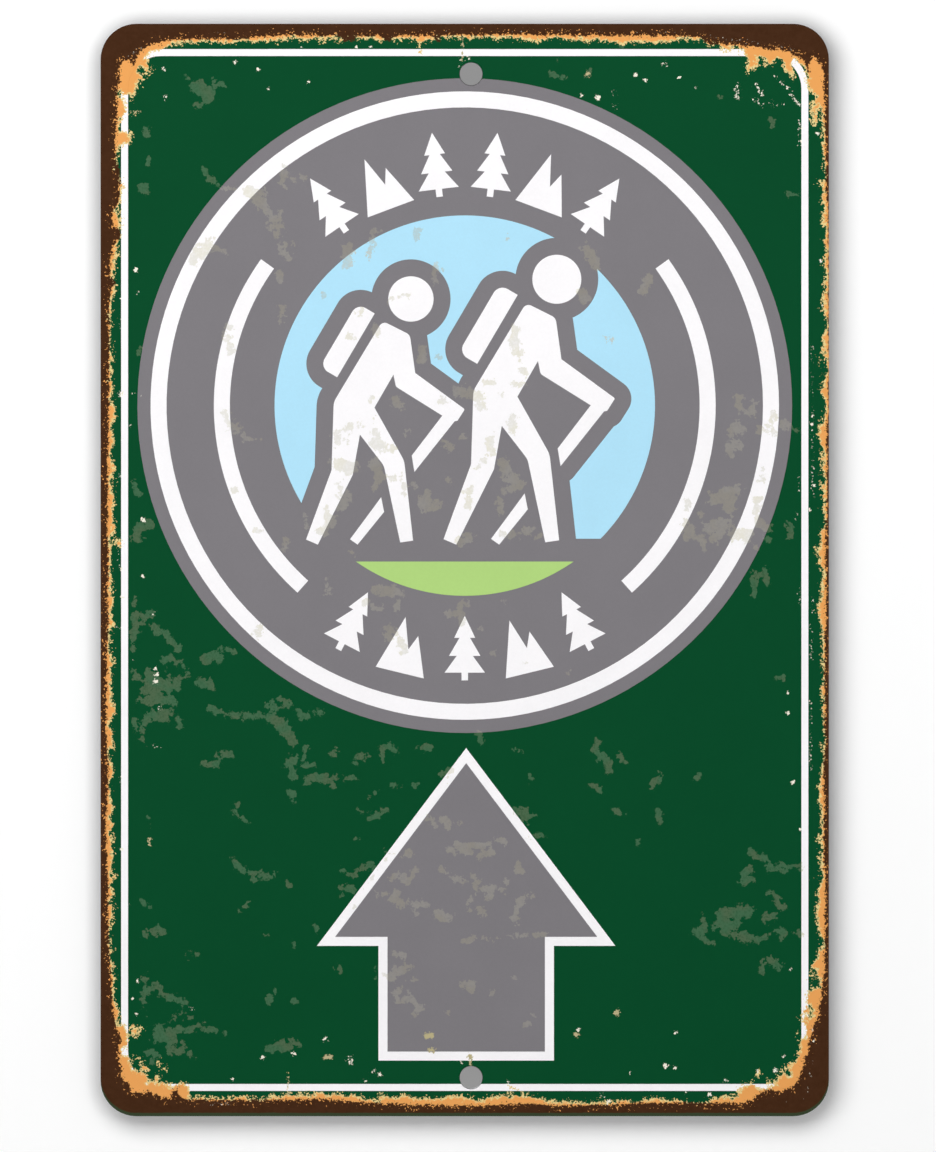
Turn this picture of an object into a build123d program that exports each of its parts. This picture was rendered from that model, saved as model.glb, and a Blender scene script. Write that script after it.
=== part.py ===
from build123d import *
import os
from math import radians, tan

os.makedirs("parts", exist_ok=True)

# A flat metal trail sign. All sizes are in millimetres and all angles in degrees.
# The printed face looks along -Y, +X is the reader's right and +Z is up.
# The origin lies midway between the two mounting holes, on the bare back face.

# Sheet blank
blank_width = 304.8
blank_height = 457.2
blank_thickness = 1.016
blank_corner_radius = 15.0
blank_edge_break = 0.2  # rounding that deburring leaves round the back edge

# Mounting holes, one above the other, punched a little right of the blank's centre line
hole_diameter = 9.525
hole_top_margin = 21.0
hole_bottom_margin = 16.2
hole_side_shift = 2.65
hole_print_gap = 0.2  # bare sheet that shows round each hole, where the print stops

# Face films: each field of colour is one layer of this thickness
film_thickness = 0.1

# Brown rim, as wide as it shows at each edge
rim_left = 5.0
rim_right = 2.6
rim_top = 5.4
rim_bottom = 5.2
rim_inner_radius = 13.0

# White border line
border_side_inset = 8.6
border_end_inset = 10.6
border_width = 2.9
border_corner_radius = 16.5

# Roundel: grey disc, white ring and side arcs, from the outside inwards
roundel_side_gap = 3.9  # clear green between the disc and the border line at each side
roundel_top_gap = 9.3
roundel_margin = 5.5  # grey outside the white ring
ring_width = 6.7
arc_gap = 19.8  # grey between the ring and the side arcs
arc_width = 6.7
arc_rise = 35.7  # the arcs' upper ends stand this far above level
arc_drop = 48.2  # and their lower ends this far below it
sky_gap = 18.7  # grey between the side arcs and the picture

# Picture: places and heights are shares of its radius, from its centre
sky_foot_share = -0.70  # the sky ends at a level line just above the hikers' feet
hill_top_share = -0.82
hiker_foot_share = -0.731
rear_place_share = -0.283
rear_height_share = 1.41
front_place_share = 0.484
front_height_share = 1.523
hiker_halo = 7.1  # grey that stays clear round each figure

# Marks on the two arcs of the roundel: pines and peaks
mark_pitch = 13.7  # angle from one mark to the next
mark_inner_gap = 8.4  # grey between the picture and the marks
mark_outer_gap = 9.8  # grey between the marks and the ring
upper_marks = ("pine", "peak", "pine", "pine", "peak", "pine")
lower_marks = ("pine", "peak", "pine", "peak", "pine")
pine_width_share = 0.80  # of the room that the pitch gives at the marks' inner radius
peak_width_share = 0.98

# Arrow
arrow_width = 124.9
arrow_side_shift = 0.6  # the arrow stands this far right of the blank's centre line
arrow_tip_gap = 6.3  # clear green between the roundel and the tip
arrow_foot_gap = 9.8  # clear green between the foot and the border line
arrow_head_share = 0.633  # of the arrow's height
arrow_stem_share = 0.588  # of the arrow's width
arrow_edge_width = 3.8

# Films lie in three levels on the blank's front, each on the one below
GROUND, PANEL, MARK = 0, 1, 2

# One hiker facing right. Each point is a share of the figure's height: to the right of
# the head's centre, then above the foot line, then the radius of the corner there.
head_centre_share = 0.916
head_radius_share = 0.0845
body_shares = (
    (-0.106, 0.834, 0.022),  # back shoulder
    (-0.004, 0.783, 0.028),  # front shoulder
    (0.016, 0.640, 0),  # front of the armpit
    (0.201, 0.505, 0.006),  # knuckles
    (0.174, 0.462, 0),  # heel of the hand
    (0.163, 0.460, 0),  # outer side of the staff, where it leaves the hand
    (0.117, 0.481, 0),  # inner elbow, and the staff's inner side
    (-0.056, 0.589, 0.016),  # underside of the upper arm
    (-0.065, 0.634, 0),  # top of the notch between arm and chest
    (-0.136, 0.511, 0),  # waist
    (-0.025, 0.313, 0.080),  # front knee
    (0.008, 0.015, 0),  # front toe
    (-0.040, 0.008, 0),  # front heel
    (-0.101, 0.295, 0.060),  # back of the front knee
    (-0.190, 0.410, 0),  # crotch
    (-0.217, 0.260, 0.030),  # front of the rear knee
    (-0.347, 0, 0),  # rear toe
    (-0.391, 0.019, 0),  # rear heel
    (-0.296, 0.278, 0),  # back of the rear knee
    (-0.288, 0.532, 0.065),  # hip
)
pack_shares = (
    (-0.135, 0.862, 0),  # top corner against the shoulders
    (-0.200, 0.900, 0.036),  # top outer corner
    (-0.340, 0.662, 0.036),  # lower outer corner
    (-0.275, 0.624, 0),  # lower corner against the back
)
upper_staff_shares = (
    (0.117, 0.481, 0),
    (0.163, 0.460, 0),
    (0.013, 0.271, 0),
    (0.003, 0.332, 0),
)
lower_staff_shares = (
    (-0.111, 0.177, 0),
    (-0.100, 0.122, 0),
    (-0.199, 0, 0),
    (-0.227, 0.020, 0),
)

# The right half of a pine, and a whole twin peak: across as a share of the half width,
# then up as a share of the height
pine_half_shares = (
    (0.52, 0.66),
    (0.26, 0.66),
    (0.78, 0.38),
    (0.40, 0.38),
    (1.0, 0.12),
    (0.16, 0.12),
    (0.16, 0),
)
peak_shares = (
    (-1.0, 0),
    (-0.30, 0.86),
    (0.12, 0.38),
    (0.38, 0.62),
    (1.0, 0),
)

# Places worked out from the sizes above, in the reader's view: right, then up
hole_spacing = blank_height - hole_top_margin - hole_bottom_margin
print_hole_diameter = hole_diameter + 2 * hole_print_gap
blank_rise = hole_spacing / 2 + hole_top_margin - blank_height / 2
blank_place = Pos(-hole_side_shift, blank_rise)
border_outer_width = blank_width - 2 * border_side_inset
border_outer_height = blank_height - 2 * border_end_inset
border_inner_width = border_outer_width - 2 * border_width
border_inner_height = border_outer_height - 2 * border_width
roundel_radius = border_inner_width / 2 - roundel_side_gap
roundel_rise = border_inner_height / 2 - roundel_top_gap - roundel_radius
roundel_place = blank_place * Pos(0, roundel_rise)
ring_outer_radius = roundel_radius - roundel_margin
ring_inner_radius = ring_outer_radius - ring_width
arc_outer_radius = ring_inner_radius - arc_gap
arc_inner_radius = arc_outer_radius - arc_width
sky_radius = arc_inner_radius - sky_gap
mark_inner_radius = sky_radius + mark_inner_gap
mark_outer_radius = ring_inner_radius - mark_outer_gap
mark_height = mark_outer_radius - mark_inner_radius
mark_room = 2 * mark_inner_radius * tan(radians(mark_pitch / 2))
arrow_place = blank_place * Pos(arrow_side_shift, 0)
arrow_tip = roundel_rise - roundel_radius - arrow_tip_gap
arrow_foot = arrow_foot_gap - border_inner_height / 2


def rounded_outline(points):
    """A flat face from points in order: right, up, corner radius."""
    corners = [(right, up) for right, up, _ in points]
    radii = [radius for _, _, radius in points]
    return make_face(FilletPolyline(*corners, radius=radii, close=True))


def hole_marks(diameter):
    """A circle of this diameter at each mounting hole, seen from the front."""
    hole = Circle(diameter / 2)
    return [Pos(0, side * hole_spacing / 2) * hole for side in (-1, 1)]


def pressed_forward(flat, back, thickness):
    """A flat shape in the reader's view, made solid from its back towards the reader."""
    return extrude(
        Plane.XZ.offset(back) * flat, amount=thickness, dir=-Vector(0, 1, 0)
    )


def film(flat, level):
    """One field of colour, laid on the level below, that stops just short of the holes."""
    back = blank_thickness + level * film_thickness
    clear = flat - hole_marks(print_hole_diameter)
    return pressed_forward(clear, back, film_thickness)


def blank_outline():
    """The outside of the sheet."""
    return blank_place * RectangleRounded(
        blank_width, blank_height, blank_corner_radius
    )


def sign_blank():
    """The aluminium sheet, deburred round its back edge, with its two holes."""
    sheet = pressed_forward(blank_outline(), 0, blank_thickness)
    back_edges = sheet.faces().sort_by(Axis.Y)[-1].edges()
    sheet = fillet(back_edges, blank_edge_break)
    return sheet - [
        pressed_forward(hole, 0, blank_thickness)
        for hole in hole_marks(hole_diameter)
    ]


def ground_outline():
    """The line where the brown rim stops and the green ground starts."""
    width = blank_width - rim_left - rim_right
    height = blank_height - rim_top - rim_bottom
    shift = Pos((rim_left - rim_right) / 2, (rim_bottom - rim_top) / 2)
    return blank_place * shift * RectangleRounded(width, height, rim_inner_radius)


def border_frame():
    """The thin white line that frames the face."""
    outer = RectangleRounded(
        border_outer_width, border_outer_height, border_corner_radius
    )
    inner = RectangleRounded(
        border_inner_width, border_inner_height, border_corner_radius - border_width
    )
    return blank_place * (outer - inner)


def flat_ring(outer_radius, width):
    """A flat ring, from its outer radius and its width."""
    return Circle(outer_radius) - Circle(outer_radius - width)


def side_arc(side):
    """A white arc beside the picture: side is 1 at the reader's right, -1 at the left."""
    reach = 2 * arc_outer_radius
    upper = (side * reach, reach * tan(radians(arc_rise)))
    lower = (side * reach, -reach * tan(radians(arc_drop)))
    wedge = make_face(Polyline((0, 0), upper, lower, close=True))
    return flat_ring(arc_outer_radius, arc_width) & wedge


def hiker(place_share, height_share):
    """The flat shapes of one hiker, by name, in the roundel's view."""
    height = height_share * sky_radius
    place = Pos(place_share * sky_radius, hiker_foot_share * sky_radius)

    def shape(shares):
        return place * rounded_outline(
            [tuple(height * share for share in point) for point in shares]
        )

    head = Pos(0, head_centre_share * height) * Circle(head_radius_share * height)
    return {
        "head": [place * head],
        "pack": [shape(pack_shares)],
        "body": [shape(body_shares)],
        "staff": [shape(upper_staff_shares), shape(lower_staff_shares)],
    }


def halos(figures):
    """Every shape of the figures, grown by the grey that stays clear round it."""
    return [
        offset(flat, amount=hiker_halo, kind=Kind.ARC)
        for figure in figures
        for flats in figure.values()
        for flat in flats
    ]


def level_band(lower_share, upper_share):
    """The part of the picture's circle between two level lines."""
    height = (upper_share - lower_share) * sky_radius
    band = Rectangle(2 * sky_radius, height, align=(Align.CENTER, Align.MIN))
    return Circle(sky_radius) & Pos(0, lower_share * sky_radius) * band


def sky_fields(figures):
    """The sky left and right of the hikers, in that order."""
    clear = level_band(sky_foot_share, 1) - halos(figures)
    fields = clear.faces().sort_by(SortBy.AREA)[-2:]
    return [Sketch([field]) for field in fields.sort_by(Axis.X)]


def pine():
    """A pine that stands on the origin, in three tiers on a short trunk."""
    half_width = pine_width_share * mark_room / 2
    right = [(x * half_width, up * mark_height) for x, up in pine_half_shares]
    left = [(-x, up) for x, up in reversed(right)]
    return Polygon((0, mark_height), *right, *left)


def peak():
    """A twin peak that stands on the origin."""
    half_width = peak_width_share * mark_room / 2
    return Polygon(*[(x * half_width, up * mark_height) for x, up in peak_shares])


def mark_row(marks, wanted, flat, foot, turn):
    """The wanted kind of mark on one arc.

    foot is how far above the roundel's centre the marks stand, or below it where it is
    negative. turn is -1 where the row runs clockwise as it is read, 1 where it doesn't.
    """
    middle = (len(marks) - 1) / 2
    return [
        Rot(0, 0, turn * (place - middle) * mark_pitch) * Pos(0, foot) * flat
        for place, kind in enumerate(marks)
        if kind == wanted
    ]


def arrow_outline():
    """The whole arrow, clockwise from its tip."""
    half_width = arrow_width / 2
    half_stem = arrow_stem_share * half_width
    shoulder = arrow_tip - arrow_head_share * (arrow_tip - arrow_foot)
    right = [(half_width, shoulder), (half_stem, shoulder), (half_stem, arrow_foot)]
    left = [(-x, up) for x, up in reversed(right)]
    return Polygon((0, arrow_tip), *right, *left)


def ground_films():
    """The two fields that lie on the bare blank."""
    return {
        "green_ground": film(ground_outline(), GROUND),
        "brown_rim": film(blank_outline() - ground_outline(), GROUND),
    }


def arrow_films():
    """The white arrow and the grey one on it."""
    outline = arrow_outline()
    inner = offset(outline, amount=-arrow_edge_width, kind=Kind.INTERSECTION)
    return {
        "arrow_edge": film(arrow_place * outline, PANEL),
        "arrow_face": film(arrow_place * inner, MARK),
    }


def roundel_films():
    """The white and coloured fields that lie on the grey disc, by name."""
    hikers = {
        "rear_hiker": hiker(rear_place_share, rear_height_share),
        "front_hiker": hiker(front_place_share, front_height_share),
    }
    left_sky, right_sky = sky_fields(hikers.values())
    flats = {
        "roundel_ring": [flat_ring(ring_outer_radius, ring_width)],
        "left_arc": [side_arc(-1)],
        "right_arc": [side_arc(1)],
        "left_sky": [left_sky],
        "right_sky": [right_sky],
        "hill_panel": [level_band(-1, hill_top_share)],
    }
    for name, figure in hikers.items():
        for piece, shapes in figure.items():
            flats[f"{name}_{piece}"] = shapes
    for kind, flat in (("pine", pine()), ("peak", peak())):
        upper = mark_row(upper_marks, kind, flat, mark_inner_radius, -1)
        lower = mark_row(lower_marks, kind, flat, -mark_outer_radius, 1)
        flats[f"upper_{kind}s"] = upper
        flats[f"lower_{kind}s"] = lower
    return {
        name: film(roundel_place * Sketch(shapes), MARK)
        for name, shapes in flats.items()
    }


nodes = {
    "sign_blank": sign_blank(),
    **ground_films(),
    "border_line": film(border_frame(), PANEL),
    "roundel_disc": film(roundel_place * Circle(roundel_radius), PANEL),
    **arrow_films(),
    **roundel_films(),
}
for name, solid in nodes.items():
    export_step(solid, f"parts/{name}.step")
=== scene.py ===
"""Looks of a weathered metal trail sign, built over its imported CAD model."""

import logging
import math
from collections.abc import Callable
from dataclasses import dataclass
from enum import Enum
from functools import partial

import bmesh
import bpy
import numpy as np
from mathutils import Matrix, Vector


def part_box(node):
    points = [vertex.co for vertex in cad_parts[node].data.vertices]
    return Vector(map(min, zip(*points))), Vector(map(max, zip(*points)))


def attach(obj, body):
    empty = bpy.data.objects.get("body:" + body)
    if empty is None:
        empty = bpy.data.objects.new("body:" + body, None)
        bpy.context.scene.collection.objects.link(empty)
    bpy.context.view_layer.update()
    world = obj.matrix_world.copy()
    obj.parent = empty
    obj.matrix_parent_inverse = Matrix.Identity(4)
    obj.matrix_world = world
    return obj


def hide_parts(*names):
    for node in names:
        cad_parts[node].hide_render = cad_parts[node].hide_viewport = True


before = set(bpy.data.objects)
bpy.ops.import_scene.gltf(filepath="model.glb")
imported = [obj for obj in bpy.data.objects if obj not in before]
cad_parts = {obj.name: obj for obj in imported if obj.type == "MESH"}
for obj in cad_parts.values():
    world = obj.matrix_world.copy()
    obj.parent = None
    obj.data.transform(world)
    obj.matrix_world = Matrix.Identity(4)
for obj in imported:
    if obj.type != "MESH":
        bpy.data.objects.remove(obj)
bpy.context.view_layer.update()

LOG = logging.getLogger("trail_sign")

Colour = tuple[float, float, float, float]
Socket = bpy.types.NodeSocket
Adder = Callable[..., Socket | None]

MM = 0.001
WHITE = (1.0, 1.0, 1.0, 1.0)
BLACK = (0.0, 0.0, 0.0, 1.0)
INWARDS = Vector((0.0, 1.0, 0.0))

# Places on the face are in millimetres right of the blank's left edge and down from its top edge.
# A stroke is a run of round dabs, each with its right, down and radius. Semicolons divide strokes.
# Noise moves each edge, so a radius below nought still shows where the noise is strong.
FADED_STROKES = """
41 26 3, 45 30 3.2; 41 34 1.2; 47.5 25 1.4, 50.5 25 1.4; 36 23 1; 19 44 1, 19 46 1; 20 56 .8,
20 58 .8; 18 68 1.4, 18 70.5 1.4; 42 61 .8, 47 66 1, 51 68 .8, 56 69 .5; 61 70 2, 67 71 2.2;
65 72 2.2, 70 79 2.2, 74.5 87 2.2; 76 61 1.2, 76 67 1.2; 80 64 1.2, 85 64 1.2; 75 79 1.2, 75 84 1.2;
80 92 1.5; 76 93 1.5, 78.5 97 1.8; 114 87 1, 116 87 1; 132 87 1.5, 132 89.5 1.5; 114 91 1.5;
113 94 1.5, 113 97 1.5; 104 93 1.2; 281 41 1, 281 43 1; 288.5 71.5 1, 291.5 71.5 1; 259 31 .8;
170 90 .8; 178 36 .8; 188 21 1, 193 22 1; 204 21 1.4; 215.5 9.7 .5, 218.5 9.7 .5; 191 14.5 .5,
191 15.5 .5; 45 91 2, 42 95 2.5, 39 99 2.5; 49 94 1.5, 52 95 1.3; 75 104 1.3, 75.5 107 1.3;
76 118 1.3, 75.5 124 1.3; 54 127 1.2, 52.5 132 1.2, 55 137 1.3; 52.5 163 1.6, 54 168 1.3;
56.5 165 1, 57.5 171 1.2; 57 171 1.2, 61 174 1, 67 174 .8; 16 136 .8, 16 138 .8; 103 95 2.5,
103 99.5 2.3; 93 112.5 1, 93 114 1; 126.5 113.6 .6, 129 113.6 .6; 122 115.6 .9; 108.5 120 .9,
108.5 122 .9; 104 131 .8, 107 132 .7; 140 102 1.4, 140 108 1.4; 134.5 136 1.4, 134.5 141 1.4;
115 127.5 1, 115 131 1; 143 103.5 1; 142 140 1.3; 114 156.5 1, 114 158 1; 114.5 163 .6,
114.5 165 .6; 122 157 1.2, 126 159.5 1.5; 143 157 2; 146.5 162.5 .8; 108.5 168 1.2; 103.5 169 2;
99 172 1.8, 99 175 1.8; 103 174 1.2; 115.5 175 2.2, 119 177 2; 122 178 1.8; 128 172 1.2; 115 170 1;
143 174 1.2, 147 178 1; 152 173 1; 150 154 2.4, 155 155 2.4; 203 94 2, 206 98 2.5, 207 102 2;
201 112 1.3, 203 115 1.6; 229 107 1.8, 227 111.5 2; 173.5 128 1.8, 173 134 1.8, 175 138 1.8;
177 146 2; 160 150 1.4, 163 150 1.4; 172.5 151 1, 177.5 151 1; 158 156 2.2; 167.5 156 1.4;
159 160 2; 172 166 2.2, 172 169 2; 163.5 174 1.3, 163.5 180 1.3; 211 131 .5, 215 132 .5;
267 157 1.3, 268 161 1.6, 272 164 1.5, 274 159 1.2; 264 172 1.3, 266 168 2, 269 170 1.2; 263 177 2,
267.5 176.5 2; 264 181 1; 281 164 1.3, 280 168 1.8, 282 172 1.3; 287 168 2.2; 276 169 1.8;
291.5 170.5 .8; 14 192.5 1.2, 16 196 1.2; 14.5 216 1.6, 16.5 211.5 2.4, 20.5 210 1.8; 19 207.8 .8;
14.3 239.5 .8, 14.3 242.5 .8; 14.5 248 1.8, 21 247.5 1.8; 21 251.5 1.6, 27 256 1.2, 31 259 1;
15 251 1.3, 14 261 1; 33.5 260 .9, 32 262.5 1; 27 267 1.5, 30 265 1.3; 34 267 1, 34 269 .9;
44 266 1.8, 49 265 2; 51 262.3 .8, 56 262.6 .6; 15 273 1.8; 20 271 1.3, 20.5 278 2; 24 277.5 1.8,
32 277 1.8; 31 276 1.5, 36 272 1.2; 41 274.8 1, 45 276 1.3, 47 278.5 1; 77 216.5 1, 77 219.5 1;
55.5 194.5 1.5; 65.5 212 1.5; 67 252 1.6, 65.5 256 1.8; 99 184 2.5, 105 186 2.8; 100 193 1,
100 197 1; 103 197 1.5, 101 203 1.6; 95 202.5 1.4, 95 207.5 1.4; 92 212 1.7; 97 207 2, 93.5 213 2;
86 206.5 1, 86 210 1; 95.5 233 1, 95.5 237.5 1; 106 221.5 1; 119.5 190 1.4, 122.5 190 1.4;
127 190.5 1.4, 127 196 1.4; 131.5 193.5 1.5; 136 197 1.8, 135 201.5 2, 140 201.5 2.2; 145.5 191 1;
115 184 2, 117 190 1.8, 114.5 195 1.3; 154 194 1.6, 154 202 1.8; 150 217 1.6, 154 215 1.6;
115 237 2, 122 237.5 2.8, 126 239 1.3; 111 242 1.3, 117 245 1.3; 125 241.5 1.3, 125 245 1.3;
120 253 1.3, 121 257 1.3; 124 255 1.5, 127 262 1.5; 146 247 2, 150 245 2, 151 251 1.3; 153 243 1.4;
158 186 1.5; 161 183 1; 168.5 184 1.8, 170 189 1.5; 172 190 2.3, 175 193 2.3, 171 195 1; 169 196 1;
167 200 1.5, 167.5 204 1.5; 172 214 1.2, 181 211.5 1; 168 213 1.5; 182.5 214.5 .8; 169 241.5 1;
159 253 1; 164.5 263 1; 177 267 1; 196 271 1; 246 199.5 .8, 246 202.5 .8; 245 210 2, 247 214.5 2.2;
251 215 1.8, 252.5 219 1.4; 251 206 1.7; 255 211 3, 261 210 3, 257 216 2.2; 257 199 3.2,
263 196.5 2.8, 263 202.5 3; 267 195 1.8; 275 199 2, 274 204 1.3; 266 214 3, 270 214 2.8;
277 187.5 1, 277 190.5 1; 275 208 1.5, 279 211 1.8; 274 219 1.2; 279 216 1.3; 288 210.5 1.3,
288.8 214 1.4; 273.5 232 1.2, 273.5 238 1; 273.5 231 1.2, 278 229.5 1.3, 279 234 1.2; 284 274 .9,
286 273.5 .9; 20 278 2.5, 22 275 3, 27 277 3.5; 18 283 2, 24 282 3.5, 28 283 2.5; 22 289 2.2,
27 289 3.2; 20 291 1.8, 17 294 1.5, 17.5 299 1.2; 31 284 1.2; 14 290 .9, 14.5 294 .9; 32 290 .9,
33.5 293.5 1.4; 49 306.5 1.4, 54 306 1.6; 42 309.8 1.2, 49 309 1.4; 46 286.5 1.3, 51 288 .8,
60 290 .8, 66 289.5 1, 72 290 2.4, 76 294 2.2, 80 300 1.8; 70 285.5 1.3, 76 286.5 1; 75.5 282.5 1,
79 285 1.2; 57.5 326 1.2, 56 329 .8, 58 332 .8, 61 333 .9, 61 335 .7; 20.3 332.5 .6, 20.3 334.5 .5;
56 350 1.3, 58 352.5 1.7, 61 355 1, 66 356 .8, 72 356.7 .5; 64 357.5 .8; 18.5 367.5 .9, 21 369.5 .9;
59 369.5 .9, 61 368.8 .7; 78.5 359.5 1; 83 287.5 .8, 83.5 290.5 .8, 87 289.5 1; 88 288 1,
93.5 287.8 .6; 80 307 1.5, 83.5 306.5 1.5; 78 309 1.4; 80 310 1.4, 80.5 315.5 1.3; 80 322 1.2,
80.5 325.5 1; 85.5 303.5 1.3; 85.5 311 .7, 88.5 310 .9; 98 304.5 1, 98 306.5 .9; 86 317 1.3,
90 315.5 1.5, 96 316 1.1, 107 315.6 .8; 97.5 318.5 .9; 107 309.5 1.4, 109.5 307 1.5, 111 306 1;
118 309 1, 118 304 1.2, 121 302 .9, 124 304.5 .9; 134 303 .9, 137 302 1.3; 115.5 320.5 .7,
113 324 1; 122.5 318.5 .8, 126 319.7 .7; 131 318.5 .5, 133 318.5 .5; 108.5 329.5 .5, 113 330 .5;
112.5 333 1.1, 116 331 1.2, 120.5 328.5 1.1; 106.5 341 .6, 108.5 340.5 .6; 118 346 1; 102 354.5 .8,
105 356.5 .9, 109 353 1.1; 112.5 352 1, 114 354.5 1; 100 362 1.2, 106 362.5 1.6; 101 365 .8;
142 313.5 .8, 145.5 313 1.6; 138 333 1.5, 140 335 1.2; 143 333 1.6, 146 334 2, 145.5 337.5 .9;
150 335 1.1; 146.5 345.5 1.3, 150 344.5 2, 154 346 1.6; 127 348 1, 130 347 1.5; 122 357 1,
126 356 1.8, 129 358.5 1.8, 132 354 .8; 142.5 353.5 1.1, 146.5 357 1.2, 152 359.5 .9; 116 364 1,
119 364.5 .8; 124 363 1.6, 123 367 2, 128 368 1.6; 133 368.5 1.3, 136.5 368.5 1.3; 155 365 .9,
155 371 .9; 153 344 1.2, 160 344 1.2, 163 343 .8; 165 342 .7, 169 342 .9; 159 348 .9, 164 346.5 .9;
175 351.5 1.2, 175 354.5 1.7; 156.5 356 .8, 159 358.5 1.2, 157 361 1.2; 160 362 .9, 169 362.3 1.1;
163 365 1.3; 170.5 358.5 .8, 170 361 .8; 174 371 1.3, 177 366 1.5, 180 365 1.2; 159 371.5 2.3;
158.7 297 .6, 158.7 300 .5; 174 303.8 .7, 176 304.3 .7; 207.5 299.7 1, 207 304 1.4, 210 307.5 1.8,
212.5 309 1.8, 213 313 .9; 217.5 306.5 .9, 219.5 308.8 .9; 202.5 318 .5, 206 318.6 .8, 209 320.3 1;
215 329 .6, 218.5 330.2 .7; 223.7 342 .7, 225 344 .6; 231 318 1.3, 234 315.5 1.3; 174 328.5 1,
178 329.5 1.3, 178 333 1.8, 181 332 .7; 182 339.7 .9, 185.5 339.5 .8; 180.3 315.5 .5, 180 318 .4;
249.7 315 1.6; 233.2 329.5 1, 234 333 .9; 271.5 346 1, 274.5 349 1, 278.5 348.5 1.5; 269 355.5 1.3,
271.5 354 1.6, 273.5 354.5 .8; 268 359.5 1, 273 358 1.1; 279.5 353 .9, 286.5 355 .8; 285 351.5 1.6;
288 352.5 1.1, 293 352.8 .8; 279 363.5 1; 282.5 366 1, 284 369 1, 286.5 371 .9; 19 382.5 1.5,
20 380 1.6, 25 379.5 1.4; 68.5 380.7 .6, 70.5 380.7 .6; 37 389.5 .7, 40.5 389.6 .5; 18.3 398 .6,
18.5 403 .9, 18 411 .9, 18.5 414 .5; 20 404 1.6, 24 403.5 1.4; 25 405.5 1.2, 30 407.5 1.1,
36 410 .6; 31.5 415.5 1.1, 35 414 1.1; 37.5 416 .8; 43.5 417.5 .7; 25 420 2, 24 424.5 2.3, 29 423 3,
31 426 2; 32 421.5 1.3, 37 420.5 1, 41 418.8 .8; 34 426 1.2; 29 429.5 1.6, 33 430 1.8; 20 431 1.1,
23.5 431 1.3, 21.5 434.5 1; 43.5 420.7 .6, 48 421 1, 51 422.3 1; 38 431.5 1.4; 72 405 1, 70 408 1.4;
70.5 429 1.6, 76 427.5 2, 79.5 429 1.3; 80 425.5 .7, 83 427 .6; 90.3 379 1.3; 81.3 385 1.1;
100 394 1, 100.7 397 1; 80.8 409 .7; 115.5 395.5 .9, 115 398.5 1; 131.5 372 1.5; 141 371.5 1.3,
142 374 1.8, 146.5 374 1.1; 152 384 1.1, 157 382.8 .9; 122.5 389.3 .6, 126.5 389.8 .6;
124.5 396 2.2, 128.5 395 2.2; 119 398 1.2, 121.5 399 2.2; 127.5 400.5 .5, 131 400.5 .5;
123.5 406 .8, 125.5 403.5 .8, 129 405 .8, 128.5 408.5 .8, 124.5 409 .9, 123.5 406 .8; 130.5 409 1.2,
133.5 411.5 1.2, 131 414.5 .8; 145 414 1.1; 151 402 1.4, 154.5 401 2, 155 405 1; 175 375.5 1.4,
172 374 1; 171 382 .7, 178 381.5 .9, 187 381 .5; 159 382.8 .8, 166 383 .4; 163.5 406.5 1.3;
173 399 .9; 181.5 415.3 .9; 178.5 418.3 .8; 248 380 1.2, 251.5 379.5 2, 252.5 375.5 2.2;
252 382.5 .8, 257 384.5 1; 257 378 .8, 261 376 2.5, 260 372.5 2, 266 372 2.8, 272 370.5 2;
266 376 2, 262 379.5 2, 266 381.5 1.8, 272 382.5 1.8, 278 383 1.3; 278.5 374.5 1.2, 281 373 1.8;
283 379 1.2, 285 380.5 1.6, 284.5 383.5 .8; 292.5 381 1.1; 277 396 1, 277.5 393.5 1.2,
281 392.2 1.1, 284 394.5 1.1; 147.3 312 .5, 144.5 316.5 .4; 121.5 347 .5, 119.5 350 .4; 115 355 .5,
109 364 .5; 105.5 370 .4; 98.5 378 .5; 179 341 .3
"""

PALE_SPECKS = """
56 16 .6; 66 19 .6; 70 27 .4; 84 9.7 .4; 107 9.7 .4; 113 9.7 .4; 87 24.5 .4; 228 23.5 .8;
224 21.5 .8; 208 31 1; 201 30 .4; 242 22.5 .5; 300 46 .6; 14.7 103 1; 15.4 112.5 .5; 8.5 115 .5;
8.8 155 1.2; 9 174 .4; 301.3 99.3 .5; 302 118 .6; 297.8 164.5 .6; 297.8 167.5 .5; 8.3 189 .5;
17.7 207.5 1; 8.3 228 .4; 17.5 231 .7; 9 240 .5; 23 270 .7; 23.3 272.5 .9; 23 275.5 .9;
298.5 193 .6; 296.5 203.5 .6; 287.7 288.5 .7; 289.8 317.5 .8; 287.7 280 .4; 292.8 337 .5;
8.7 345.5 .7; 15.5 400.5 .5; 13.3 408 .4; 15.3 414.5 .5; 67.8 432.5 .6; 55.3 441.7 .5; 80.9 431 .8;
117 439.8 .7; 170.5 443 .5; 221.5 439 .5; 212.7 451 .9; 240.7 422 .6; 236.4 436 .9; 240.3 436.8 .5;
261.5 442.5 .6; 245 447.5 .4; 254.8 448 .6; 282.3 438 .9; 285.7 432 .5; 289 395.8 .5;
199.8 421.3 .6; 275 438.5 .6; 282 166 .3
"""

BEIGE_SPECKS = """
93.7 432.5 .7, 96.3 432.5 .7; 136.5 423.5 1.1, 138.5 423.5 1.1; 138 429.5 .9, 139 429.5 .9;
154.5 432 .9, 155 436 .3; 216 414 1.2; 199 423 1.1; 204 21 .9; 20.5 341.3 .5, 20.5 343.7 .5;
151.6 5 .15, 151.4 12 .2, 151 19 .15; 12.4 37.4 .3, 16.4 36.6 .2; 78.5 441 .25, 78.5 448 .2
"""

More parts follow.
